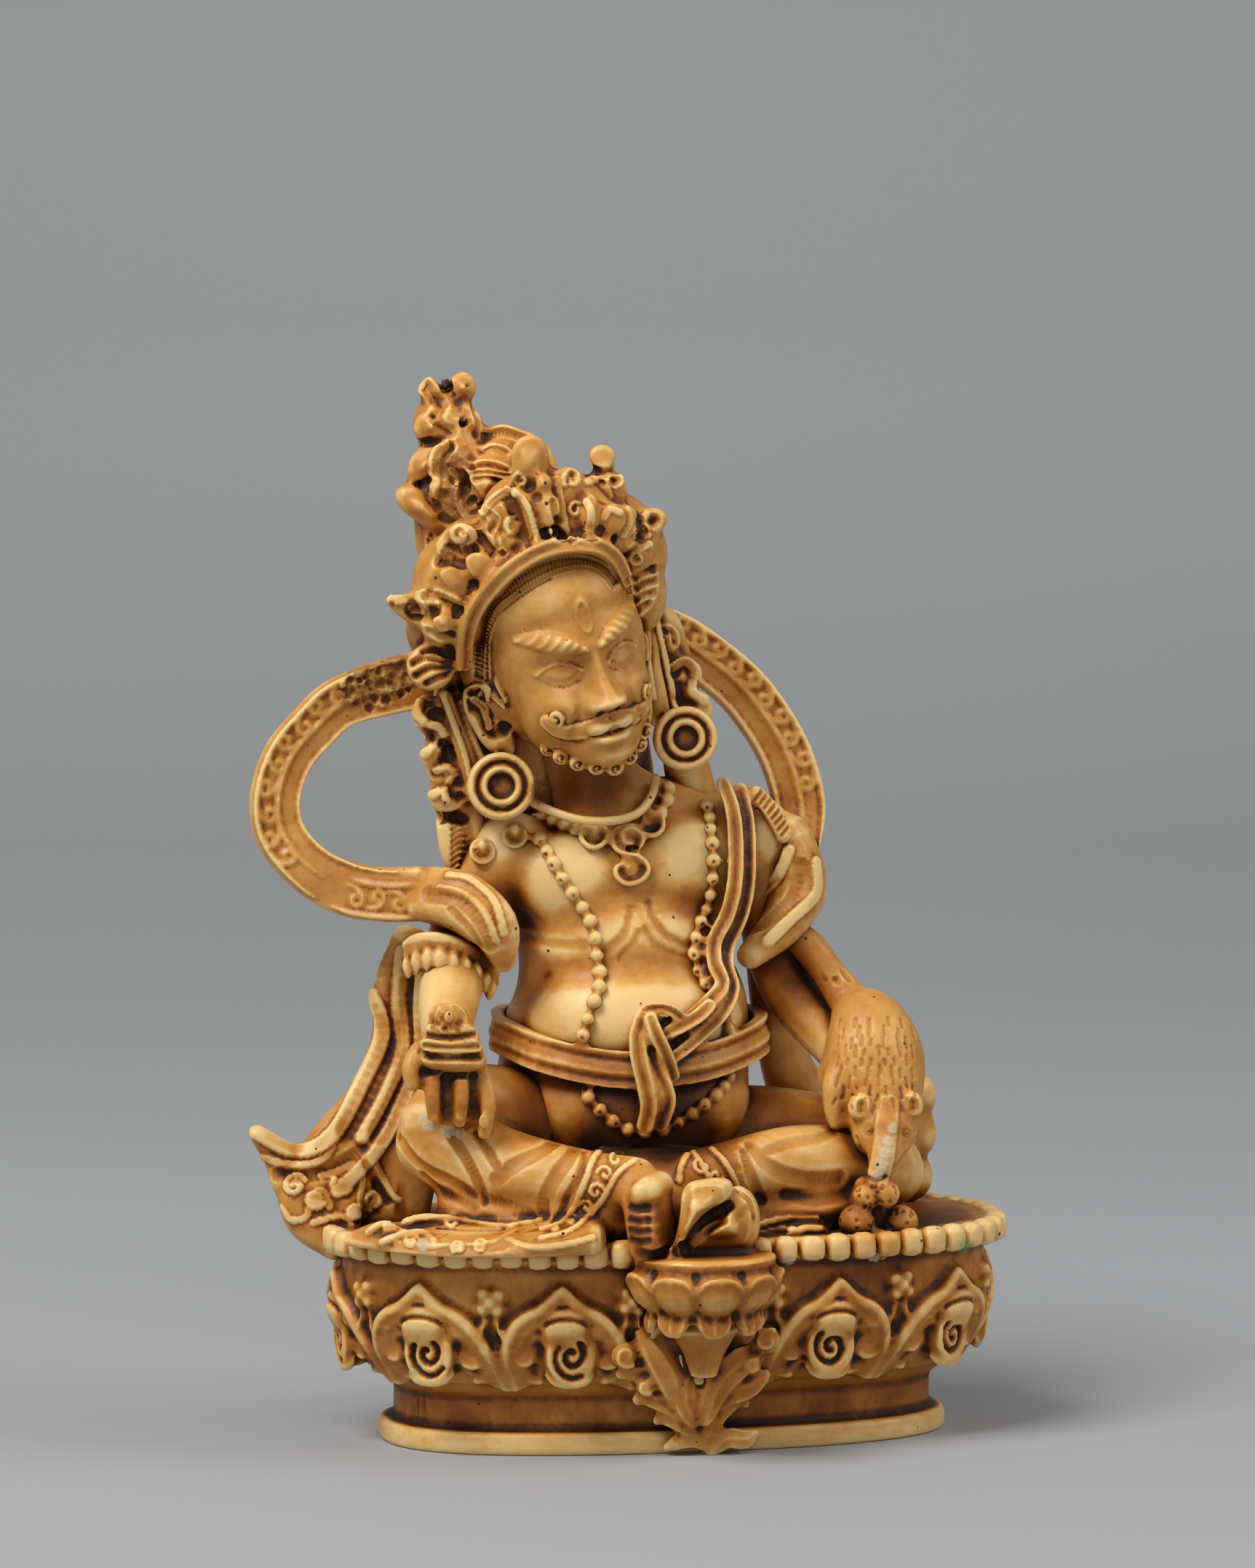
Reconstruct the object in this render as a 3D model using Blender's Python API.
"""A small seated statue of a wealth deity on a lotus throne, cast in one piece in ivory-coloured resin.

Lengths are in millimetres and MM turns them to metres. X runs to the viewer's right when the statue is
seen from the front, Y runs back and Z up. The origin is the middle of the throne's underside.
"""

import math

import bmesh
import bpy
from mathutils import Euler, Matrix, Vector

MM = 0.001

# The throne: an oval plinth, a waist, and a bowl of petals under a beaded rim.
PLINTH_WIDTH = 73.4
PLINTH_DEPTH = 37.0
PLINTH_HEIGHT = 2.9
WAIST_INSET = 2.0
RIM_WIDTH = 88.6
RIM_DEPTH = 49.6
THRONE_HEIGHT = 27.5
OVAL_POWER = 2.5
RIM_BEADS = 64
RIM_BEAD_HEIGHT = 2.8
RIM_BEAD_BULGE = 1.35
PETALS = 12
PETAL_ABOVE_PLINTH = 5.7
PETAL_BELOW_SEAT = 5.3
BOSS_REACH = 2.6
BOSS_RADIUS = 3.7
BOWL_FULL_BELOW_SEAT = 8.0
BOWL_STARTS_BELOW_PETAL = 1.5

# The small lotus that carries the right foot in front of the throne.
FOOT_LOTUS_RADIUS = 9.2
FOOT_LOTUS_BELOW_SEAT = 1.3
FOOT_LOTUS_PETALS = 9
STALK_SIDE = 1.9

# The figure. Its points are in units of which 108 are its height, and 27.5 is the level of its seat.
FIGURE_HEIGHT = 108.0
FIGURE_UNITS = 108.0
FIGURE_SEAT = 27.5

# How finely the clay is fused, how often it is sanded and how many faces the finished solid keeps.
GRAIN = 0.5
SAND_PASSES = 3
FACES = 9600

IVORY = (0.62, 0.39, 0.16, 1.0)
ROUGHNESS = 0.42

UP = Vector((0, 0, 1))
RING_STEPS = 24

# How wide a spiral still is at its eye, as a share of its outer radius.
SPIRAL_EYE = 0.12

# Sizes that follow from those above.
PETAL_FOOT = PLINTH_HEIGHT + PETAL_ABOVE_PLINTH
PETAL_TOP = THRONE_HEIGHT - PETAL_BELOW_SEAT
BOWL_FOOT = PETAL_FOOT - BOWL_STARTS_BELOW_PETAL
WAIST_WIDTH = PLINTH_WIDTH - 2 * WAIST_INSET
WAIST_DEPTH = PLINTH_DEPTH - 2 * WAIST_INSET
BOWL_WIDTH = RIM_WIDTH - 2 * BOSS_REACH
BOWL_DEPTH = RIM_DEPTH - 2 * BOSS_REACH
RIM_FOOT = THRONE_HEIGHT - RIM_BEAD_HEIGHT
FOOT_LOTUS_TOP = THRONE_HEIGHT - FOOT_LOTUS_BELOW_SEAT
SEAT_FRONT = RIM_DEPTH / 2
PLINTH_FRONT = PLINTH_DEPTH / 2


def mix(a, b, share):
    return a + (b - a) * share


def catmull(a, b, c, d, t):
    """The number at t between b and c on a smooth curve that also passes a and d."""
    square = (2 * a - 5 * b + 4 * c - d) * t * t
    cube = (3 * b - 3 * c + d - a) * t ** 3
    return 0.5 * (2 * b + (c - a) * t + square + cube)


def smooth_path(points, steps):
    """Rows of numbers on a smooth curve through the given rows."""
    if len(points) < 3:
        ends = list(zip(points[0], points[1]))
        return [[mix(a, b, i / steps) for a, b in ends] for i in range(steps + 1)]
    rows = []
    for i in range(len(points) - 1):
        p0 = points[max(i - 1, 0)]
        p1 = points[i]
        p2 = points[i + 1]
        p3 = points[min(i + 2, len(points) - 1)]
        for j in range(steps):
            t = j / steps
            rows.append([catmull(a, b, c, d, t) for a, b, c, d in zip(p0, p1, p2, p3)])
    rows.append(list(points[-1]))
    return rows


def bridge(clay, rings, closed=False):
    """Skins a row of rings of points, with a fan of faces on each open end."""
    made = [[clay.verts.new(p) for p in ring] for ring in rings]
    count = len(made[0])
    faces = []
    pairs = list(zip(made, made[1:])) + ([(made[-1], made[0])] if closed else [])
    for low, high in pairs:
        for i in range(count):
            j = (i + 1) % count
            faces.append(clay.faces.new((low[i], low[j], high[j], high[i])))
    if not closed:
        for ring in (made[0], made[-1]):
            middle = clay.verts.new(sum((v.co for v in ring), Vector()) / count)
            for i in range(count):
                faces.append(clay.faces.new((ring[i], ring[(i + 1) % count], middle)))
    bmesh.ops.recalc_face_normals(clay, faces=faces)


def sweep(clay, points, sizes, facing=(0, -1, 0), square=1.0, sides=12, steps=5, closed=False, blunt=False):
    """A limb, cord or ribbon along a smooth path.

    sizes holds a half width and half thickness for each point, or one pair for all. The thickness points
    along facing. square is 1 for a round section and nearer 0 for a slab.
    """
    if not isinstance(sizes[0], (tuple, list)):
        sizes = [sizes] * len(points)
    rows = [list(p) + list(s) for p, s in zip(points, sizes)]
    if closed:
        rows = rows + rows[:1]
    rows = smooth_path(rows, steps)
    if closed:
        rows = rows[:-1]
    path = [Vector(r[:3]) for r in rows]
    last = len(path) - 1
    rings = []
    for i, row in enumerate(rows):
        before = path[i - 1] if i or closed else path[0]
        after = path[(i + 1) % len(path)] if i < last or closed else path[last]
        tangent = (after - before).normalized()
        front = Vector(facing(path[i]) if callable(facing) else facing)
        side = tangent.cross(front).normalized()
        out = side.cross(tangent).normalized()
        section = []
        for k in range(sides):
            angle = 2 * math.pi * k / sides
            c = math.copysign(abs(math.cos(angle)) ** square, math.cos(angle))
            s = math.copysign(abs(math.sin(angle)) ** square, math.sin(angle))
            section.append(side * (c * row[3]) + out * (s * row[4]))
        ends = []
        if not closed and not blunt and i in (0, last):
            reach = min(row[3], row[4]) * (-1 if i == 0 else 1)
            for turn in (60, 30):
                shrink = math.cos(math.radians(turn))
                push = tangent * (reach * math.sin(math.radians(turn)))
                ends.append([path[i] + push + p * shrink for p in section])
        ring = [path[i] + p for p in section]
        if i == 0:
            rings += ends + [ring]
        else:
            rings += [ring] + ends[::-1]
    bridge(clay, rings, closed)


def limb(clay, rows, **how):
    """A sweep whose rows each hold x, y, z, half width and half thickness."""
    sweep(clay, [row[:3] for row in rows], [row[3:] for row in rows], **how)


def ball(clay, centre, radii, turn=(0, 0, 0), detail=3):
    """An ellipsoid, turned by degrees about X, Y and Z."""
    if not isinstance(radii, (tuple, list)):
        radii = (radii,) * 3
    place = Matrix.Translation(centre) @ Euler([math.radians(a) for a in turn]).to_matrix().to_4x4()
    place = place @ Matrix.Diagonal((*radii, 1.0))
    bmesh.ops.create_icosphere(clay, subdivisions=detail, radius=1.0, matrix=place)


def spiral_points(centre, across, up, radius, turns, hand, start):
    """Points that wind inwards round a centre, in the plane of across and up."""
    count = max(6, int(turns * 9))
    rows = []
    for i in range(count + 1):
        share = i / count
        angle = hand * (start + share * turns * 2 * math.pi)
        reach = radius * mix(1.0, SPIRAL_EYE, share)
        rows.append(centre + across * (reach * math.cos(angle)) + up * (reach * math.sin(angle)))
    return rows


def scroll(clay, centre, facing, radius, thick, turns, hand=1, start=0.0):
    """A raised spiral, as on the hems and the bosses of the petals."""
    facing = Vector(facing).normalized()
    across = UP.cross(facing).normalized()
    upward = facing.cross(across)
    rows = spiral_points(Vector(centre), across, upward, radius, turns, hand, start)
    sizes = [(mix(thick, thick * 0.8, i / len(rows)),) * 2 for i in range(len(rows))]
    sweep(clay, rows, sizes, facing=facing, sides=6, steps=1)


def ring(clay, centre, axis, radius, thick, squash=1.0):
    """A closed hoop round an axis; squash flattens it upwards."""
    axis = Vector(axis).normalized()
    across = UP.cross(axis).normalized()
    upward = axis.cross(across)
    rows = []
    for i in range(RING_STEPS):
        angle = 2 * math.pi * i / RING_STEPS
        spoke = across * math.cos(angle) + upward * (squash * math.sin(angle))
        rows.append(Vector(centre) + spoke * radius)
    sweep(clay, rows, (thick, thick), facing=axis, sides=8, steps=1, closed=True)


# The throne.


def oval(width, depth, count):
    """Points of the throne's plan, evenly spaced, counted from the front towards the viewer's right."""
    fine = count * 8
    raw = []
    for i in range(fine):
        angle = -math.pi / 2 + 2 * math.pi * i / fine
        c, s = math.cos(angle), math.sin(angle)
        x = width / 2 * math.copysign(abs(c) ** (2 / OVAL_POWER), c)
        y = depth / 2 * math.copysign(abs(s) ** (2 / OVAL_POWER), s)
        raw.append(Vector((x, y)))
    raw.append(raw[0])
    reach = [0.0]
    for a, b in zip(raw, raw[1:]):
        reach.append(reach[-1] + (b - a).length)
    even = []
    at = 0
    for i in range(count):
        want = reach[-1] * i / count
        while reach[at + 1] < want:
            at += 1
        even.append(raw[at].lerp(raw[at + 1], (want - reach[at]) / (reach[at + 1] - reach[at])))
    return even


def flare(z):
    """How far the bowl has opened at height z, from 0 at its foot to 1."""
    full = THRONE_HEIGHT - BOWL_FULL_BELOW_SEAT
    share = min(max((z - BOWL_FOOT) / (full - BOWL_FOOT), 0.0), 1.0)
    return math.sin(share * math.pi / 2) ** 0.8


def on_bowl(share, z, lift=0.0):
    """A point on the bowl that share of the way round from the front, the way out, and the way along."""
    count = 32 * PETALS
    width = mix(WAIST_WIDTH, BOWL_WIDTH, flare(z))
    depth = mix(WAIST_DEPTH, BOWL_DEPTH, flare(z))
    plan = oval(width, depth, count)
    at = int(round(share * count)) % count
    along = (plan[(at + 1) % count] - plan[at - 1]).normalized()
    out = Vector((along.y, -along.x, 0.0))
    return Vector((plan[at].x, plan[at].y, z)) + out * lift, out, Vector((along.x, along.y, 0.0))


def throne_body(clay):
    """The plain body of the throne, from the plinth to the seat."""
    rim_width = RIM_WIDTH - 1.6
    rim_depth = RIM_DEPTH - 1.6
    rows = [
        (-2.0, PLINTH_WIDTH - 0.6, PLINTH_DEPTH - 0.6),
        (0.0, PLINTH_WIDTH - 0.6, PLINTH_DEPTH - 0.6),
        (PLINTH_HEIGHT * 0.4, PLINTH_WIDTH, PLINTH_DEPTH),
        (PLINTH_HEIGHT * 0.8, PLINTH_WIDTH - 0.2, PLINTH_DEPTH - 0.2),
        (PLINTH_HEIGHT, PLINTH_WIDTH - 1.6, PLINTH_DEPTH - 1.6),
        (PLINTH_HEIGHT + 0.6, WAIST_WIDTH, WAIST_DEPTH),
    ]
    steps = 12
    for i in range(steps):
        z = mix(BOWL_FOOT, RIM_FOOT, i / steps)
        rows.append((z, mix(WAIST_WIDTH, BOWL_WIDTH, flare(z)), mix(WAIST_DEPTH, BOWL_DEPTH, flare(z))))
    rows.append((RIM_FOOT, BOWL_WIDTH - 0.4, BOWL_DEPTH - 0.4))
    rows.append((RIM_FOOT + 0.6, rim_width, rim_depth))
    rows.append((THRONE_HEIGHT - 0.4, rim_width, rim_depth))
    rows.append((THRONE_HEIGHT, rim_width - 1.2, rim_depth - 1.2))
    bridge(clay, [[Vector((p.x, p.y, z)) for p in oval(w, d, 160)] for z, w, d in rows])


def rim_beads(clay):
    """Blocky beads round the edge of the seat."""
    inset = 2 * (RIM_BEAD_BULGE - 0.05)
    plan = oval(RIM_WIDTH - inset, RIM_DEPTH - inset, RIM_BEADS * 4)
    pitch = sum((b - a).length for a, b in zip(plan, plan[1:] + plan[:1])) / RIM_BEADS
    tall = RIM_BEAD_HEIGHT / 2
    for i in range(RIM_BEADS):
        at = i * 4
        along = (plan[(at + 1) % len(plan)] - plan[at - 1]).normalized()
        centre = Vector((plan[at].x, plan[at].y, THRONE_HEIGHT - tall))
        half = Vector((along.x, along.y, 0)) * (pitch * 0.36)
        end = (tall * 0.92, RIM_BEAD_BULGE * 0.85)
        middle = (tall * 1.04, RIM_BEAD_BULGE)
        bead = dict(facing=(along.y, -along.x, 0), square=0.7, sides=8, steps=2, blunt=True)
        sweep(clay, [centre - half, centre, centre + half], [end, middle, end], **bead)


def arch(share):
    """Height share of a petal's edge at a share of the way from its middle, with a cusp at the top."""
    share = min(share, 1.0)
    return (1 - share ** 2.8) ** 0.5 * 0.8 + 0.2 * max(0.0, 1 - share * 2.6) ** 1.6


def petal(clay, share, half):
    """A bracket-topped petal with a raised edge, two curls and a spiral boss in the middle."""
    tall = PETAL_TOP - PETAL_FOOT
    steps = 16
    edge = []
    for k in range(-steps, steps + 1):
        across = k / steps
        z = PETAL_FOOT + 1.0 + (tall - 1.0) * arch(abs(across))
        edge.append(on_bowl(share + across * half * 0.94, z, 0.5)[0])
    out = on_bowl(share, PETAL_FOOT + tall * 0.5)[1]
    sweep(clay, edge, (0.75, 1.0), facing=out, square=0.8, sides=8, steps=1)
    middle = on_bowl(share, PETAL_FOOT + tall * 0.42, 0.3)[0]
    ball(clay, on_bowl(share, PETAL_FOOT + tall * 0.62, 0.2)[0], (1.4, 1.4, 3.6), detail=2)
    boss = [middle - out * 0.5, middle + out * (BOSS_REACH - 0.4), middle + out * BOSS_REACH]
    widths = [(BOSS_RADIUS * k, BOSS_RADIUS * k) for k in (1.2, 0.95, 0.65)]
    sweep(clay, boss, widths, facing=(0, 0, 1), sides=14, steps=2, blunt=True)
    hand = 1 if share < 0.5 else -1
    scroll(clay, middle + out * (BOSS_REACH - 0.1), out, BOSS_RADIUS * 0.8, 0.6, 1.5, hand, 1.0)
    for side in (-1, 1):
        curl, turn, _ = on_bowl(share + side * half * 0.62, PETAL_FOOT + tall * 0.34, 0.4)
        scroll(clay, curl, turn, 1.7, 0.6, 1.2, -side, 0.5)
        ball(clay, on_bowl(share + side * half * 0.34, PETAL_FOOT + 1.0, 0.5)[0], (1.7, 1.3, 1.5), detail=2)


def flower(clay, share):
    """The four-lobed flower between two petals."""
    centre, _, along = on_bowl(share, PETAL_TOP - 2.0, 0.2)
    for step in range(4):
        angle = math.radians(45 + 90 * step)
        spot = centre + along * (1.2 * math.cos(angle)) + Vector((0, 0, 1.2 * math.sin(angle)))
        ball(clay, spot, 0.95, detail=1)


def throne(clay):
    throne_body(clay)
    rim_beads(clay)
    half = 0.5 / PETALS
    for i in range(PETALS):
        petal(clay, i / PETALS, half)
        flower(clay, i / PETALS + half)


def foot_lotus(clay):
    """The lotus under the right foot, with its stalk and leaves down the front of the throne."""
    r = FOOT_LOTUS_RADIUS
    top = FOOT_LOTUS_TOP
    hub = Vector((-0.3, 0.5 - SEAT_FRONT, 0))
    profile = [(15.6, 0.17 * r), (12.6, 0.28 * r), (9.6, 0.5 * r), (8.0, 0.48 * r), (6.6, 0.59 * r)]
    profile += [(4.0, r - 1.8), (1.8, r - 0.6), (0.4, r - 0.2), (0, r - 0.8)]
    rings = []
    for drop, reach in profile:
        spokes = [2 * math.pi * k / 40 for k in range(40)]
        rings.append([hub + Vector((reach * math.cos(a), reach * math.sin(a), top - drop)) for a in spokes])
    bridge(clay, rings)
    step = math.pi / (FOOT_LOTUS_PETALS - 1)
    for i in range(FOOT_LOTUS_PETALS):
        angle = -math.pi + i * step
        out = Vector((math.cos(angle), math.sin(angle), 0))
        ball(clay, hub + out * (r - 1.9) + Vector((0, 0, top - 3.2)), (1.9, 1.9, 2.3), detail=2)
        if i % 2 == 0:
            root = hub + out * (r - 4.8) + Vector((0, 0, top - 7.2))
            bend = root + out * 1.8 - Vector((0, 0, 0.6))
            tip = root + out * 3.0 - Vector((0, 0, 3.0))
            sweep(clay, [root, bend, tip], [(1.8, 1.0), (2.0, 0.9), (0.6, 0.6)], facing=(0, 0, 1), sides=8)
    stalk(clay, hub + Vector((0, 0, top - 13.0)))


def stalk(clay, top):
    """The stalk and the leaves that curl off it, down to the plinth."""
    rise = top.z - PLINTH_HEIGHT
    foot = Vector((STALK_SIDE, 0.4 - PLINTH_FRONT, PLINTH_HEIGHT - 0.9))
    front = PLINTH_FRONT
    bends = [top, Vector((0.5, -front - 3.0, PLINTH_HEIGHT + rise * 0.74))]
    bends += [Vector((1.2, -front - 1.0, PLINTH_HEIGHT + rise * 0.36)), foot]
    sweep(clay, bends, [(2.4, 2.2), (1.4, 1.4), (1.2, 1.4), (1.7, 1.5)], facing=(0, -1, 0))
    for side in (-1, 1):
        for low, high, reach in ((0.65, 1.42, 8.2), (0.35, 1.12, 6.2), (0.05, 0.74, 4.6)):
            root = Vector((0.6 + side * 0.8, -front - 2.2, PLINTH_HEIGHT + rise * low))
            bow = PLINTH_HEIGHT + rise * mix(low, high, 0.45)
            bend = Vector((0.6 + side * reach * 0.55, -front - 3.6, bow))
            tip = Vector((0.6 + side * reach, -front - 3.2, PLINTH_HEIGHT + rise * high))
            sweep(clay, [root, bend, tip], [(1.0, 1.0), (1.7, 1.0), (0.8, 0.8)], facing=(0, -1, 0), sides=8)
        curl = Vector((0.6 + side * 7.4, -front - 3.4, PLINTH_HEIGHT + rise * 1.35))
        scroll(clay, curl, (0, -1, 0), 1.6, 0.8, 1.0, side, 2.0)
        skirt = [foot + Vector((side * x, 0, z)) for x, z in ((0, 2.2), (2.6, 1.4), (4.6, 0.0))]
        sweep(clay, skirt, [(0.9, 0.8), (1.2, 0.8), (0.6, 0.6)], facing=(0, -1, 0), sides=8)


# The figure. Everything below is in the figure's own units.

HEAD_CENTRE = Vector((-12.6, -4.0, 98.3))
HEAD_DEGREES = (5, -18, 2)
HEAD_TURN = Euler([math.radians(a) for a in HEAD_DEGREES]).to_matrix()
FACE = HEAD_TURN @ Vector((0, -1, 0))


def on_head(x, y, z):
    """A point given in the head's own axes: the face looks along -y and the chin is at z = -14."""
    return HEAD_CENTRE + HEAD_TURN @ Vector((x, y, z))


def on_head_rows(*rows):
    """Rows for limb, with their places given in the head's own axes."""
    return [(*on_head(*row[:3]), *row[3:]) for row in rows]


def torso(clay):
    trunk = (
        (-4.5, 4.0, 26.0, 16.0, 12.0),
        (-4.8, 4.0, 38.0, 16.8, 12.6),
        (-4.2, 3.5, 48.0, 16.2, 12.6),
        (-3.8, 3.6, 54.5, 15.6, 12.2),
        (-4.2, 4.2, 60.5, 13.6, 10.4),
        (-4.4, 4.4, 66.5, 14.6, 10.2),
        (-4.2, 4.2, 71.5, 15.9, 10.2),
        (-4.6, 4.4, 76.0, 14.0, 8.6),
        (-6.4, 3.4, 79.6, 8.4, 6.6),
        (-8.6, 1.0, 84.0, 6.0, 6.0),
        (-10.8, -1.0, 90.0, 5.8, 6.0),
    )
    limb(clay, trunk, sides=28)
    ball(clay, (-4.6, 6.4, 33.5), (21.0, 12.4, 9.6))
    ball(clay, (-11.6, -2.6, 70.3), (7.8, 5.2, 6.0), (0, 12, 0))
    ball(clay, (1.4, -3.0, 71.8), (7.8, 5.2, 6.0), (0, -18, 0))
    ball(clay, (-4.3, -2.0, 52.6), (14.2, 10.6, 9.6))
    ball(clay, (-19.2, 3.4, 73.4), (6.4, 6.2, 6.4))
    ball(clay, (11.8, 3.6, 75.6), (6.4, 6.2, 6.2))
    ball(clay, (-16.5, 4.5, 73.0), (8.0, 7.0, 5.6), (0, 12, 0))
    ball(clay, (7.0, 4.5, 76.5), (8.0, 7.0, 5.4), (0, 10, 0))
    for side in (-1, 1):
        ball(clay, (-4.6 + side * 8.0, 9.4, 71.5), (8.0, 4.6, 6.6))
        ball(clay, (-4.5 + side * 6.4, 9.4, 41.5), (8.6, 7.4, 8.6))


def head(clay):
    ball(clay, on_head(0, 0.4, 2.4), (10.2, 10.8, 12.6), HEAD_DEGREES)
    ball(clay, on_head(0, -3.4, -5.2), (8.4, 7.0, 8.8), HEAD_DEGREES)
    ball(clay, on_head(0, 2.0, 9.0), (10.6, 10.6, 8.6), HEAD_DEGREES)
    ball(clay, on_head(0, 3.6, 2.0), (13.0, 8.2, 13.0), HEAD_DEGREES)
    ball(clay, on_head(0, -9.6, -12.0), (2.6, 1.9, 2.0), HEAD_DEGREES, 2)
    nose = on_head_rows((0, -10.4, 3.4, 1.0, 1.0), (0, -11.6, 0.0, 1.1, 1.4), (0, -13.0, -3.0, 1.5, 1.3))
    limb(clay, nose, facing=FACE, sides=10)
    ball(clay, on_head(0, -12.0, -3.4), (2.5, 1.6, 1.3), HEAD_DEGREES, 2)
    for side in (-1, 1):
        ball(clay, on_head(side * 4.6, -7.9, -3.4), (3.5, 2.6, 3.2), HEAD_DEGREES, 2)
        ball(clay, on_head(side * 3.9, -8.9, 1.2), (2.1, 1.4, 1.1), HEAD_DEGREES, 2)
        brow = ((1.0, -11.0, 2.2, 0.7, 0.6), (4.0, -10.6, 4.0, 1.2, 0.8), (7.8, -7.7, 6.6, 0.6, 0.5))
        limb(clay, on_head_rows(*mirror(brow, side)), facing=FACE, sides=8)
        moustache = (
            (0.6, -11.6, -6.3, 0.9, 0.8),
            (3.2, -10.6, -7.4, 0.9, 0.9),
            (6.0, -8.6, -6.6, 0.8, 0.8),
            (7.2, -7.2, -4.9, 0.6, 0.6),
        )
        limb(clay, on_head_rows(*mirror(moustache, side)), sides=8)
        ear = (
            (9.8, 0.6, 3.0, 1.6, 1.4),
            (10.8, 1.4, 0.0, 2.2, 1.6),
            (10.2, 0.2, -4.0, 1.7, 1.4),
            (10.0, -1.4, -9.0, 1.3, 1.2),
        )
        limb(clay, on_head_rows(*mirror(ear, side)), sides=8)
    for i in range(7):
        angle = math.radians(-66 + 22 * i)
        out = math.cos(angle)
        spot = on_head(6.8 * math.sin(angle), -4.2 - 5.4 * out, -10.4 - 2.4 * out)
        ball(clay, spot, (1.1, 1.0, 1.0), detail=1)


def mirror(rows, side):
    """The rows as they are for side 1, or mirrored across the face for side -1."""
    return [(row[0] * side, *row[1:]) for row in rows]


def earrings(clay):
    for centre, size in (((-22.1, -5.4, 83.4), 4.3), ((1.8, -5.0, 89.1), 4.1)):
        facing = Vector((-0.15, -1, 0.1)).normalized()
        spot = Vector(centre)
        plate = [spot - facing * 1.2, spot + facing * 0.2]
        sweep(clay, plate, [(size, size)] * 2, facing=(0, 0, 1), sides=24, blunt=True)
        ring(clay, spot + facing * 0.4, facing, size - 0.8, 0.9)
        ring(clay, spot + facing * 0.3, facing, size * 0.45, 0.6)


def flame_leaf(clay, root, tip, out, width, thick=1.3):
    """A pointed leaf of the crown with a boss at its foot."""
    spots = [root, root.lerp(tip, 0.45) + out * 0.6, root.lerp(tip, 0.75) + out * 0.4, tip]
    widths = [(width * 0.8, thick), (width, thick), (width * 0.62, thick * 0.9), (0.7, 0.7)]
    sweep(clay, spots, widths, facing=out, square=0.85, sides=10, steps=4)
    ball(clay, root.lerp(tip, 0.4) + out * (thick + 0.5), width * 0.42, detail=2)


def crown_arc(reach, rise, depth, lean, low, high, count):
    """Points of an arch over the brow, in the head's axes, from the angle low to the angle high."""
    rows = []
    for i in range(count):
        angle = math.radians(mix(low, high, i / (count - 1)))
        up = math.sin(angle)
        rows.append(on_head(reach * math.cos(angle), depth - lean * up, 3.0 + rise * up))
    return rows


def crown(clay):
    ball(clay, on_head(-0.2, 2.0, 12.0), (11.6, 9.6, 7.4), HEAD_DEGREES)
    band = crown_arc(12.0, 12.2, -5.4, 3.2, -14, 194, 13)
    sweep(clay, band, (1.5, 1.2), facing=HEAD_TURN @ Vector((0, -0.9, 0.45)), square=0.6, sides=10, steps=2)
    wall = crown_arc(14.8, 15.6, -3.8, 1.8, -8, 192, 13)
    thick = [(1.6 + 2.2 * math.sin(math.pi * i / 12), 1.7) for i in range(13)]
    sweep(clay, wall, thick, facing=HEAD_TURN @ Vector((0, -0.95, 0.3)), square=0.8, sides=10, steps=2)
    front = (HEAD_TURN @ Vector((0, -1, 0.25))).normalized()
    leaves = (
        ((2.0, -8.0, 16.4), (2.0, -8.2, 26.0), 4.4),
        ((-5.8, -7.2, 14.6), (-8.0, -6.8, 22.8), 4.2),
        ((9.4, -6.2, 14.0), (11.6, -5.4, 22.6), 3.9),
        ((-11.0, -5.2, 10.4), (-15.4, -3.6, 17.4), 3.9),
        ((13.2, -3.4, 8.6), (17.8, -1.6, 14.8), 3.5),
        ((-13.6, -2.4, 6.0), (-20.0, 0.6, 11.6), 3.0),
        ((13.4, 0.4, 3.4), (15.0, 2.4, 8.0), 2.8),
        ((-14.2, 0.8, 1.2), (-18.2, 2.6, 1.8), 3.0),
    )
    for root, tip, width in leaves:
        flame_leaf(clay, on_head(*root), on_head(*tip), front, width)
    finial = (
        (2.0, -8.4, 21.0, 2.6, 2.2),
        (2.4, -8.8, 26.0, 2.1, 1.9),
        (2.6, -8.6, 30.0, 2.1, 1.8),
    )
    limb(clay, on_head_rows(*finial), square=0.8, sides=10)
    knob = (
        (10.0, -6.0, 18.6, 2.4, 2.0),
        (11.8, -6.2, 22.2, 1.6, 1.5),
        (10.8, -6.0, 26.0, 1.9, 1.7),
    )
    limb(clay, on_head_rows(*knob), sides=10)
    for x, y, z in ((-7.6, -9.2, 15.0), (-2.2, -10.2, 18.6), (3.2, -10.6, 19.4), (9.8, -8.8, 16.4)):
        ball(clay, on_head(x, y, z), 2.1, detail=2)


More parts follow.
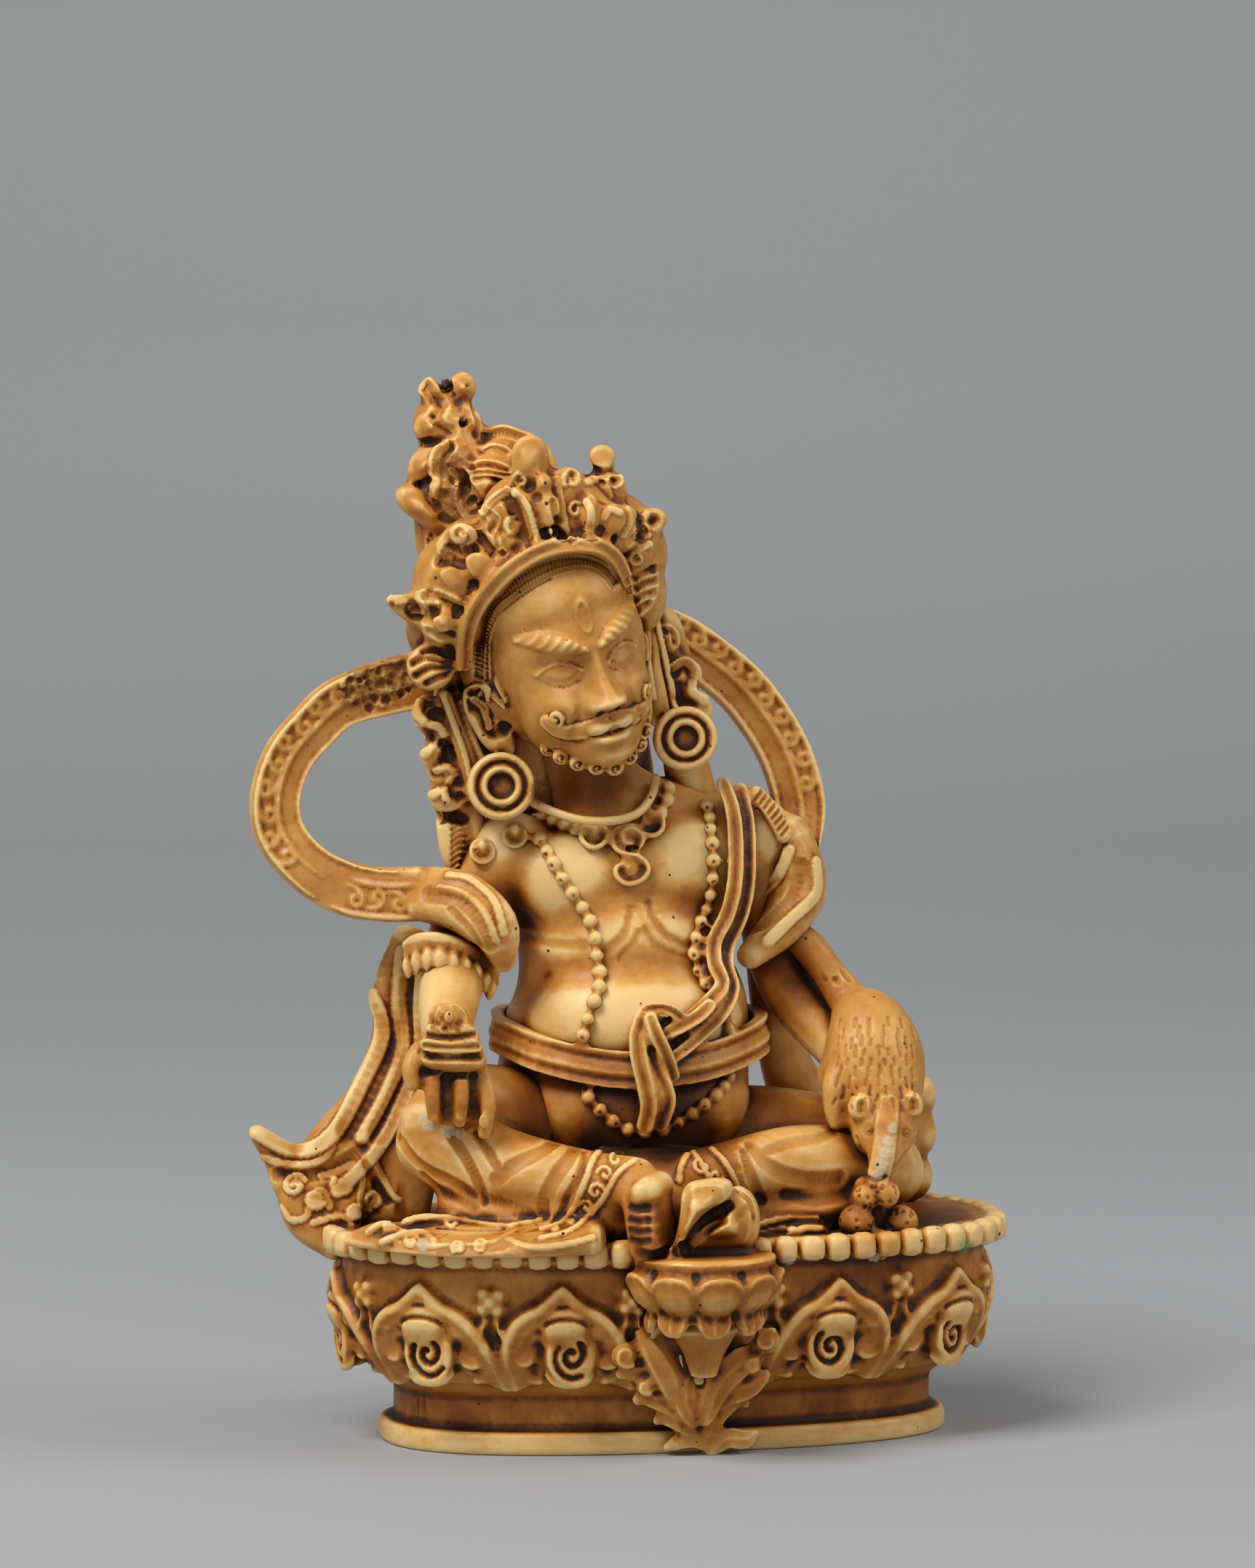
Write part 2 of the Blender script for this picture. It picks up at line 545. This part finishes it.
def topknot(clay):
    tress = (
        (-20.6, 6.4, 108.0, 8.6, 7.6),
        (-24.4, 7.0, 114.4, 7.6, 6.8),
        (-26.2, 7.0, 119.4, 6.2, 5.4),
        (-26.8, 7.0, 123.6, 4.9, 4.4),
        (-26.8, 6.8, 128.0, 3.9, 3.5),
        (-26.2, 6.6, 131.4, 2.4, 2.3),
        (-25.6, 6.2, 133.6, 1.5, 1.5),
    )
    limb(clay, tress, sides=14)
    ball(clay, (-24.6, 5.2, 133.7), 1.8, detail=2)
    for x, z, size in ((-32.4, 119.6, 2.3), (-31.0, 123.4, 2.0), (-30.2, 129.0, 1.9), (-28.0, 133.4, 1.5)):
        ball(clay, (x, 5.4, z), (size, size * 0.9, size * 0.9), (0, -25, 0), 2)
    for z, size in ((117.0, 4.6), (124.0, 3.0)):
        ring(clay, (-24.0 - (z - 117) * 0.3, 3.4, z), (0.1, -1, 0.3), size, 1.0, 0.9)
    ball(clay, (-18.6, 3.4, 118.0), (6.6, 4.8, 8.6), (0, -20, 0))
    arc = ((-22.4, 4.0, 127.0, 1.6, 1.8), (-17.4, 3.0, 127.4, 1.8, 1.8), (-14.0, 2.0, 122.6, 1.6, 1.6))
    limb(clay, arc, sides=8)
    fan = ((-21.8, 2.0, 119.6, 3.2, 1.8), (-19.6, 0.6, 123.4, 3.6, 1.6), (-20.4, 0.4, 126.4, 2.2, 1.2))
    limb(clay, fan, sides=10)


def hair(clay):
    """The hair and crown ribbons that fall behind the ears, and the locks down the back."""
    left = (
        (-27.4, 3.0, 97.0, 3.4, 4.2),
        (-28.4, 3.4, 91.0, 2.9, 4.0),
        (-26.8, 3.6, 84.4, 3.0, 4.0),
        (-25.4, 4.0, 77.0, 3.2, 4.2),
        (-24.2, 4.4, 71.4, 2.2, 3.2),
    )
    limb(clay, left)
    for x, z in ((-30.2, 93.6), (-30.9, 90.0), (-29.6, 86.2), (-28.9, 82.2), (-27.4, 78.2)):
        ball(clay, (x, 2.2, z), (1.5, 2.0, 1.9), detail=1)
    right = (
        (0.4, 3.0, 103.0, 3.0, 4.0),
        (2.6, 3.6, 97.6, 3.0, 4.0),
        (4.0, 4.0, 92.0, 2.8, 4.0),
        (4.4, 4.4, 85.0, 3.4, 4.2),
        (6.0, 5.0, 79.0, 3.4, 4.0),
    )
    limb(clay, right)
    for x, z in ((3.4, 99.4), (5.6, 95.4), (6.2, 91.2)):
        ball(clay, (x, 2.6, z), (1.5, 2.0, 1.8), detail=1)
    limb(clay, ((-24.0, 2.6, 97.0, 3.0, 3.0), (-24.0, 2.4, 90.0, 3.2, 3.0), (-22.4, 2.2, 83.0, 2.6, 2.8)))
    locks = ((-6.0, 13.0, 69.0), (-2.0, 12.2, 71.0), (2.0, 12.4, 70.0), (6.0, 13.0, 72.0))
    for across, reach, low in locks:
        lock = (
            (-12.6 + across * 1.2, 8.6, 100.0, 3.6, 4.0),
            (-11.4 + across * 1.3, 10.4, 90.0, 3.8, 3.8),
            (-9.4 + across * 1.25, reach - 1.4, 80.0, 3.6, 3.4),
            (-7.6 + across, reach, low, 1.4, 1.6),
        )
        limb(clay, lock)
    back = (
        (-13.0, 6.0, 100.0, 10.6, 6.4),
        (-12.0, 7.0, 92.0, 10.4, 5.4),
        (-10.0, 8.4, 84.0, 9.6, 4.6),
        (-8.0, 8.6, 77.0, 6.0, 3.0),
    )
    limb(clay, back, sides=18)


def scarf(clay):
    """The celestial scarf: two loops behind the shoulders and a wrap on each arm."""
    left = (
        (-22.0, 8.0, 97.4, 3.9, 1.9),
        (-31.4, 9.0, 95.9, 3.9, 1.9),
        (-39.8, 9.0, 93.5, 3.4, 1.9),
        (-43.8, 8.5, 90.3, 3.3, 1.9),
        (-47.1, 8.0, 86.5, 3.3, 1.9),
        (-48.9, 7.0, 81.6, 3.3, 1.9),
        (-48.4, 6.5, 77.0, 3.3, 1.9),
        (-45.3, 5.0, 72.9, 3.3, 1.9),
        (-41.0, 4.0, 70.3, 3.6, 2.0),
        (-36.4, 2.0, 69.4, 3.6, 2.0),
        (-31.4, -1.0, 69.6, 3.6, 2.0),
    )
    limb(clay, left, square=0.55, steps=4)
    wrap = (
        (-31.4, -1.0, 69.6, 3.6, 2.4),
        (-27.2, -4.6, 68.8, 3.8, 3.0),
        (-23.4, -6.8, 65.6, 3.2, 3.0),
        (-22.0, -5.6, 61.4, 1.6, 1.6),
    )
    limb(clay, wrap, facing=(-0.1, -1, 0.3), square=0.7)
    right = (
        (-3.0, 10.0, 102.4, 3.0, 1.9),
        (2.5, 11.0, 101.6, 3.4, 1.9),
        (7.7, 11.0, 98.6, 3.4, 1.9),
        (12.9, 11.0, 94.3, 3.4, 1.9),
        (16.9, 10.0, 88.7, 3.4, 1.9),
        (19.0, 9.0, 83.7, 3.4, 1.9),
        (19.8, 8.0, 78.7, 3.4, 1.9),
        (18.6, 6.0, 73.6, 3.2, 2.6),
    )
    limb(clay, right, square=0.55, steps=4)
    sleeve = (
        (16.0, 2.6, 75.0, 4.2, 5.2),
        (17.6, 1.4, 69.6, 4.2, 5.0),
        (15.6, -1.4, 65.2, 3.0, 3.6),
        (10.8, -3.4, 61.2, 1.8, 2.2),
    )
    limb(clay, sleeve, facing=(0.2, -1, 0.2))


def drapery(clay):
    """The falls of the scarf at both sides of the seat."""
    outer = (
        (-31.4, 8.0, 63.4, 2.4, 1.8),
        (-33.2, 8.2, 57.0, 3.0, 2.2),
        (-33.6, 8.0, 50.0, 3.0, 2.4),
        (-36.2, 6.4, 42.6, 4.0, 2.6),
        (-40.6, 4.6, 36.0, 5.4, 2.8),
        (-43.8, 3.0, 30.2, 5.8, 3.0),
        (-41.6, 1.0, 25.6, 3.4, 2.6),
    )
    limb(clay, outer, facing=(0, -1, 0.1), square=0.6, steps=4)
    inner = (
        (-29.4, 7.6, 62.0, 2.4, 2.2),
        (-29.4, 7.4, 52.0, 3.6, 2.6),
        (-30.6, 6.8, 42.0, 4.8, 2.8),
        (-34.0, 5.8, 33.0, 5.8, 3.0),
        (-36.0, 5.0, 27.0, 6.4, 3.0),
    )
    limb(clay, inner, square=0.8, sides=10)
    for tip in (
        ((-44.0, 4.0, 33.6, 2.6, 2.2), (-48.0, 4.0, 35.2, 2.4, 2.0), (-52.2, 3.6, 39.0, 1.0, 1.1)),
        ((-45.0, 3.4, 31.0, 2.6, 2.0), (-48.4, 3.4, 32.6, 2.0, 1.8), (-50.2, 3.6, 36.0, 1.0, 1.2)),
    ):
        limb(clay, tip, sides=10)
    right = (
        (14.8, 8.0, 62.0, 2.2, 2.0),
        (16.6, 8.6, 52.0, 2.8, 2.4),
        (20.0, 8.6, 42.0, 4.0, 3.2),
        (26.0, 8.0, 34.0, 5.6, 4.6),
    )
    limb(clay, right, sides=10)
    end = ((26.0, 8.0, 34.0, 5.6, 4.0), (32.0, 8.6, 35.6, 5.0, 3.4), (35.6, 9.0, 38.0, 3.4, 2.6))
    limb(clay, end, sides=10)
    for x, z, size in ((35.6, 41.2, 3.3), (35.6, 36.0, 3.3), (34.8, 30.6, 3.6)):
        ball(clay, (x, 9.0, z), (size, 3.0, size), detail=2)


def arms(clay):
    right = (
        (-20.4, 3.2, 73.4, 5.2, 5.2),
        (-24.2, 2.6, 67.0, 5.0, 5.0),
        (-26.8, -0.4, 61.0, 4.4, 4.6),
        (-29.0, -6.0, 56.2, 4.0, 4.0),
        (-30.2, -11.0, 52.4, 3.3, 3.3),
        (-29.8, -14.4, 48.6, 3.2, 2.8),
    )
    limb(clay, right, sides=14)
    left = (
        (12.6, 3.8, 74.6, 5.2, 5.2),
        (15.2, 4.4, 68.0, 4.9, 5.0),
        (15.8, 4.0, 61.0, 4.0, 4.2),
        (17.2, 1.4, 55.6, 3.6, 3.6),
        (20.6, -2.6, 50.6, 3.2, 3.2),
        (24.0, -6.6, 46.6, 3.0, 3.0),
    )
    limb(clay, left, sides=14)
    ring(clay, (-25.6, 1.4, 63.4), (-0.35, -0.5, -0.8), 5.2, 1.2)
    for i in range(9):
        angle = math.radians(-100 + 25 * i)
        out = math.cos(angle)
        ball(clay, (-27.6 + 5.4 * math.sin(angle), -0.8 - 5.0 * out, 60.4 - 0.6 * out), 1.2, detail=2)


def right_hand(clay):
    """The open hand on the knee and the jewelled fruit that it holds."""
    palm = (
        (-30.2, -13.4, 49.6, 3.2, 2.0),
        (-29.8, -15.4, 46.6, 3.9, 1.9),
        (-29.2, -15.6, 43.4, 3.7, 1.5),
    )
    limb(clay, palm, facing=(0, -1, 0.3), square=0.8)
    for i, drop in enumerate((0.6, 0.0, 0.2, 1.4)):
        x = -32.2 + 2.0 * i
        finger = (
            (x, -15.8, 45.4, 1.0, 1.0),
            (x + 0.1, -17.0, 42.6 + drop * 0.6, 1.0, 1.0),
            (x + 0.3, -16.8, 39.0 + drop, 0.8, 0.8),
        )
        limb(clay, finger, sides=8)
    thumb = ((-26.8, -14.0, 50.4), (-26.0, -15.6, 48.6), (-27.2, -17.2, 47.4))
    sweep(clay, thumb, (1.0, 1.0))
    ball(clay, (-30.0, -16.6, 48.6), (3.5, 2.8, 2.4), (0, -8, 0), 2)
    fruit = (
        (-30.2, -16.6, 49.6, 2.6, 2.2),
        (-30.3, -16.8, 52.0, 1.5, 1.5),
        (-30.4, -16.8, 53.4, 1.0, 1.0),
    )
    limb(clay, fruit)


def legs(clay):
    right_thigh = (
        (-10.0, 3.0, 37.0, 7.8, 8.6),
        (-18.6, -0.6, 39.8, 7.2, 7.8),
        (-26.6, -4.2, 42.2, 6.0, 6.4),
        (-30.6, -6.6, 40.6, 5.0, 5.4),
    )
    limb(clay, right_thigh, facing=(0, -1, 0.4), sides=16)
    right_shin = (
        (-31.2, -6.2, 38.4, 4.8, 5.2),
        (-27.0, -10.0, 36.8, 5.6, 5.4),
        (-20.0, -14.4, 35.2, 4.9, 4.7),
        (-13.0, -18.6, 34.6, 3.9, 3.9),
        (-8.6, -22.0, 35.0, 3.3, 3.2),
    )
    limb(clay, right_shin, facing=(0, -0.6, 1), sides=16)
    left_thigh = (
        (4.0, 3.0, 36.4, 7.4, 8.2),
        (13.0, 0.4, 37.4, 6.6, 7.2),
        (21.6, -1.4, 36.8, 5.8, 6.2),
        (27.0, -3.4, 34.6, 5.6, 5.6),
    )
    limb(clay, left_thigh, facing=(0, -1, 0.4), sides=16)
    left_shin = (
        (28.0, -5.4, 33.6, 5.4, 5.0),
        (21.4, -9.4, 34.6, 5.6, 5.0),
        (13.8, -12.6, 35.6, 4.9, 4.6),
        (6.0, -15.6, 35.6, 3.7, 3.6),
        (-0.4, -18.2, 35.4, 2.8, 2.8),
    )
    limb(clay, left_shin, facing=(0, -0.6, 1), sides=16)


def right_foot(clay):
    foot = (
        (-8.8, -21.8, 35.0, 3.0, 2.9),
        (-7.8, -25.0, 33.2, 3.3, 2.7),
        (-7.6, -26.6, 29.8, 3.3, 2.0),
        (-7.6, -27.0, 26.6, 3.0, 1.4),
    )
    limb(clay, foot, facing=(0.1, -1, 0.2), sides=14)
    for x, y, z, size in (
        (-6.4, -27.8, 33.4, 1.9),
        (-8.2, -28.8, 31.4, 1.4),
        (-8.7, -29.0, 29.4, 1.3),
        (-8.6, -28.8, 27.8, 1.2),
    ):
        ball(clay, (x, y, z), (size * 1.1, size, size * 0.9), detail=2)


def skirts(clay):
    """The cloth under and between the legs, and its hems."""
    ball(clay, (-4.4, 0.4, 42.0), (16.0, 13.0, 9.6))
    ball(clay, (-4.4, -12.0, 33.0), (12.0, 9.0, 5.0), detail=2)
    ball(clay, (13.0, -8.0, 30.0), (15.0, 9.0, 4.0), (0, 0, -12), 2)
    under = ((-27.0, -9.0, 31.0, 6.0, 4.2), (-18.0, -13.0, 31.0, 6.4, 4.4), (-11.0, -17.0, 31.0, 6.0, 4.2))
    limb(clay, under, facing=(0, 0, 1))
    flat = (
        (-40.4, -9.6, 27.7, 4.4, 1.2),
        (-33.6, -16.0, 27.8, 5.4, 1.4),
        (-24.4, -19.6, 28.0, 6.0, 1.6),
        (-14.0, -21.8, 28.6, 5.0, 2.2),
    )
    limb(clay, flat, facing=(0, -0.2, 1), square=0.8)
    right_hem = (
        (-9.8, -22.6, 39.0, 1.6, 1.2),
        (-10.4, -23.4, 35.6, 1.9, 1.3),
        (-12.0, -22.8, 32.0, 2.0, 1.3),
        (-15.6, -21.4, 29.6, 2.0, 1.2),
    )
    limb(clay, right_hem, facing=(0.4, -1, 0), square=0.6, sides=10)
    left_hem = ((2.4, -19.2, 38.2, 1.8, 1.2), (4.2, -20.4, 35.4, 2.0, 1.3), (5.4, -19.4, 32.4, 1.8, 1.2))
    limb(clay, left_hem, facing=(0, -1, 0.4), square=0.6, sides=10)


def conch(clay):
    """The shell beside the foot on the small lotus."""
    shell = (
        (-6.4, -29.0, 26.8, 0.6, 0.7),
        (-3.6, -28.4, 28.8, 2.2, 2.2),
        (-0.4, -27.4, 30.6, 3.9, 3.7),
        (2.6, -26.2, 31.0, 4.2, 4.1),
        (5.0, -25.4, 30.6, 3.3, 3.5),
        (6.6, -25.0, 30.2, 1.6, 1.8),
    )
    limb(clay, shell, sides=16)
    limb(clay, ((-5.4, -30.0, 27.6, 0.6, 0.6), (-2.6, -30.8, 30.6, 1.0, 0.9), (0.4, -30.2, 33.8, 0.7, 0.7)))
    ball(clay, (5.2, -26.6, 30.4), (2.2, 2.4, 2.6), detail=2)


def mongoose(clay):
    body = (
        (23.6, -3.0, 54.8, 2.6, 2.6),
        (25.0, -6.0, 52.4, 5.2, 4.9),
        (25.6, -8.6, 48.6, 6.4, 5.7),
        (25.6, -10.8, 44.6, 6.0, 5.2),
        (25.5, -12.8, 41.4, 4.6, 4.4),
    )
    limb(clay, body, sides=18)
    ball(clay, (25.4, -14.6, 39.6), (4.5, 3.9, 4.1), (-20, 0, 0))
    snout = ((25.3, -16.0, 38.6, 3.6, 2.9), (24.6, -18.2, 36.2, 2.4, 2.2), (23.2, -18.8, 33.8, 1.3, 1.3))
    limb(clay, snout)
    for side in (-1, 1):
        ring(clay, (25.6 + side * 3.3, -15.2, 42.0), (side * 0.4, -1, 0.4), 1.2, 0.6)
        ball(clay, (25.2 + side * 2.3, -18.0, 38.8), 0.7, detail=1)
    tail = (
        (15.6, 0.0, 64.6, 1.6, 1.6),
        (18.6, -1.2, 62.2, 2.2, 2.1),
        (21.2, -2.2, 58.6, 2.2, 2.2),
        (23.6, -3.4, 55.0, 2.8, 2.6),
    )
    limb(clay, tail)


def jewels(clay):
    """The jewels that fall from the mongoose's mouth."""
    for x, y, z, size in (
        (21.2, -18.6, 31.6, 1.9),
        (24.0, -17.8, 31.6, 1.9),
        (19.2, -17.8, 28.9, 2.1),
        (26.6, -14.6, 28.9, 2.1),
        (22.8, -18.6, 28.6, 1.8),
    ):
        ball(clay, (x, y, z), size, detail=2)
    heap = ((22.4, -17.0, 32.6, 1.6, 1.8), (22.6, -15.6, 29.0, 3.0, 2.6), (22.8, -14.6, 26.0, 3.4, 3.0))
    limb(clay, heap)


def string(clay, points, radius):
    """A string of beads on a cord."""
    rows = [Vector(r) for r in smooth_path(points, 24)]
    pitch = radius * 2.05
    ball(clay, rows[0], radius, detail=1)
    run = 0.0
    for a, b in zip(rows, rows[1:]):
        run += (b - a).length
        if run >= pitch:
            run -= pitch
            ball(clay, b, radius, detail=1)
    sweep(clay, points, (radius * 0.62, radius * 0.62), sides=6, steps=6)


def necklaces(clay):
    left = ((-17.4, -4.4, 76.0), (-15.2, -6.6, 72.4), (-12.2, -7.6, 66.4), (-10.6, -8.2, 61.2))
    string(clay, left + ((-11.4, -11.4, 55.2), (-12.0, -11.6, 51.0)), 0.95)
    right = ((4.2, -3.6, 80.4), (5.0, -6.4, 74.8), (3.8, -7.2, 68.6), (2.0, -6.8, 62.6))
    string(clay, right + ((4.4, -9.6, 57.0), (6.6, -9.6, 52.6)), 0.95)
    low = ((-12.4, -12.6, 45.4), (-9.6, -14.4, 41.6), (-6.1, -15.2, 39.9), (-2.4, -15.0, 40.4))
    string(clay, low + ((1.4, -13.6, 42.6), (5.6, -10.6, 45.4)), 0.95)
    collar = ((-17.0, -3.0, 78.8), (-13.4, -5.8, 77.6), (-9.4, -7.0, 76.8), (-6.4, -7.6, 76.2))
    string(clay, collar + ((-3.3, -6.8, 77.6), (0.4, -4.4, 81.6)), 0.9)
    torque = ((-15.4, -2.6, 81.2), (-11.3, -5.2, 80.0), (-6.4, -5.6, 80.8), (-1.6, -3.2, 84.2))
    sweep(clay, torque, (0.7, 0.8), sides=8)
    for x, z, size, hand in ((-9.2, 75.4, 1.6, 1), (-4.0, 77.0, 1.6, -1), (-6.6, 72.6, 1.8, 1)):
        scroll(clay, (x, -8.1, z), (0, -1, 0.2), size, 0.6, 1.2, hand)
    for x, y, z in ((-20.4, -2.6, 77.6), (3.6, -2.6, 83.4), (9.2, -1.0, 83.2), (-25.0, -1.6, 75.0)):
        ball(clay, (x, y, z), (2.0, 1.6, 1.9), detail=2)


def away_from_spine(point):
    return (point - Vector((-4.3, 3.0, point.z))).normalized()


def sashes(clay):
    """The belt, the cross sash over the left shoulder and the knot where they meet."""
    belt = ((-21.0, 2.0, 51.4), (-17.4, -7.2, 49.8), (-10.3, -11.6, 48.2), (-4.5, -13.0, 48.0))
    belt += ((3.1, -11.8, 48.8), (10.6, -5.4, 50.6), (12.6, 2.0, 51.4))
    belt += ((9.0, 11.8, 51.8), (-4.3, 16.0, 51.8), (-17.6, 11.8, 51.8))
    sweep(clay, belt, (1.9, 1.4), facing=away_from_spine, square=0.7, sides=10, closed=True)
    sash = ((9.0, -1.6, 81.6), (9.6, -4.4, 75.1), (8.4, -5.8, 68.3), (6.4, -6.2, 62.5))
    sash += ((7.2, -8.4, 57.5), (3.4, -11.4, 54.2), (-2.9, -13.0, 52.0))
    sweep(clay, sash, (1.7, 1.2), square=0.7, sides=10)
    sweep(clay, ((5.4, -12.2, 53.0), (0.6, -13.6, 50.6), (-4.6, -14.4, 49.6)), (1.5, 1.2), sides=10)
    ball(clay, (-4.4, -13.6, 50.4), (3.0, 2.2, 2.6), detail=2)
    tails = ((-5.0, -13.8, 50.0, 1.8, 1.4), (-4.6, -15.2, 45.4, 2.5, 1.5), (-3.0, -14.8, 40.8, 1.5, 1.2))
    limb(clay, tails)


def figure(clay):
    own = bmesh.new()
    for form in (torso, head, earrings, crown, topknot, hair, scarf, drapery, arms, right_hand):
        form(own)
    for form in (legs, right_foot, skirts, conch, mongoose, jewels, necklaces, sashes):
        form(own)
    size = Matrix.Scale(FIGURE_HEIGHT / FIGURE_UNITS, 4)
    move = Matrix.Translation((0, 0, THRONE_HEIGHT)) @ size @ Matrix.Translation((0, 0, -FIGURE_SEAT))
    bmesh.ops.transform(own, matrix=move, verts=own.verts)
    mesh = bpy.data.meshes.new("figure")
    own.to_mesh(mesh)
    own.free()
    clay.from_mesh(mesh)
    bpy.data.meshes.remove(mesh)


# From clay to one solid.


def apply(body):
    """Turns the object's modifiers into plain mesh."""
    view = bpy.context.evaluated_depsgraph_get()
    made = bpy.data.meshes.new_from_object(body.evaluated_get(view))
    body.modifiers.clear()
    old = body.data
    body.data = made
    bpy.data.meshes.remove(old)


def fuse(name, clay):
    """Fuses the clay to one skin, sands it, thins it to the number of faces and puts it in the scene."""
    bmesh.ops.scale(clay, vec=(MM, MM, MM), verts=clay.verts)
    mesh = bpy.data.meshes.new(name)
    clay.to_mesh(mesh)
    clay.free()
    body = bpy.data.objects.new(name, mesh)
    bpy.context.scene.collection.objects.link(body)
    skin = body.modifiers.new("skin", "REMESH")
    skin.mode = "VOXEL"
    skin.voxel_size = GRAIN * MM
    sand = body.modifiers.new("sand", "SMOOTH")
    sand.factor = 0.5
    sand.iterations = SAND_PASSES
    apply(body)
    thin = body.modifiers.new("thin", "DECIMATE")
    thin.ratio = min(1.0, FACES / sum(len(p.vertices) - 2 for p in body.data.polygons))
    apply(body)
    return body


def keep_largest(shell):
    """Drops every island of the mesh but the largest."""
    left = set(shell.verts)
    islands = []
    while left:
        queue = [left.pop()]
        island = set(queue)
        while queue:
            for edge in queue.pop().link_edges:
                for vert in edge.verts:
                    if vert in left:
                        left.discard(vert)
                        island.add(vert)
                        queue.append(vert)
        islands.append(island)
    islands.sort(key=len)
    for island in islands[:-1]:
        bmesh.ops.delete(shell, geom=list(island), context="VERTS")


def seat_flat(body):
    """Cuts the body off level at the floor, so that it stands on a true underside."""
    shell = bmesh.new()
    shell.from_mesh(body.data)
    keep_largest(shell)
    whole = list(shell.verts) + list(shell.edges) + list(shell.faces)
    floor = dict(plane_co=(0, 0, 0), plane_no=(0, 0, -1), clear_outer=True, dist=1e-7)
    cut = bmesh.ops.bisect_plane(shell, geom=whole, **floor)
    rim = [e for e in cut["geom_cut"] if isinstance(e, bmesh.types.BMEdge)]
    bmesh.ops.triangle_fill(shell, edges=rim, use_beauty=True)
    bmesh.ops.remove_doubles(shell, verts=shell.verts, dist=2e-6)
    bmesh.ops.dissolve_degenerate(shell, edges=shell.edges, dist=1e-6)
    bmesh.ops.triangulate(shell, faces=shell.faces)
    bmesh.ops.recalc_face_normals(shell, faces=shell.faces)
    shell.to_mesh(body.data)
    shell.free()


def paint(body):
    """Gives the body its plain ivory resin."""
    resin = bpy.data.materials.new("ivory resin")
    resin.use_nodes = True
    shader = resin.node_tree.nodes["Principled BSDF"]
    shader.inputs["Base Color"].default_value = IVORY
    shader.inputs["Roughness"].default_value = ROUGHNESS
    shader.inputs["Metallic"].default_value = 0.0
    body.data.materials.clear()
    body.data.materials.append(resin)


def build():
    for old in list(bpy.data.objects):
        bpy.data.objects.remove(old)
    clay = bmesh.new()
    throne(clay)
    foot_lotus(clay)
    figure(clay)
    body = fuse("jambhala_statue", clay)
    seat_flat(body)
    paint(body)


build()
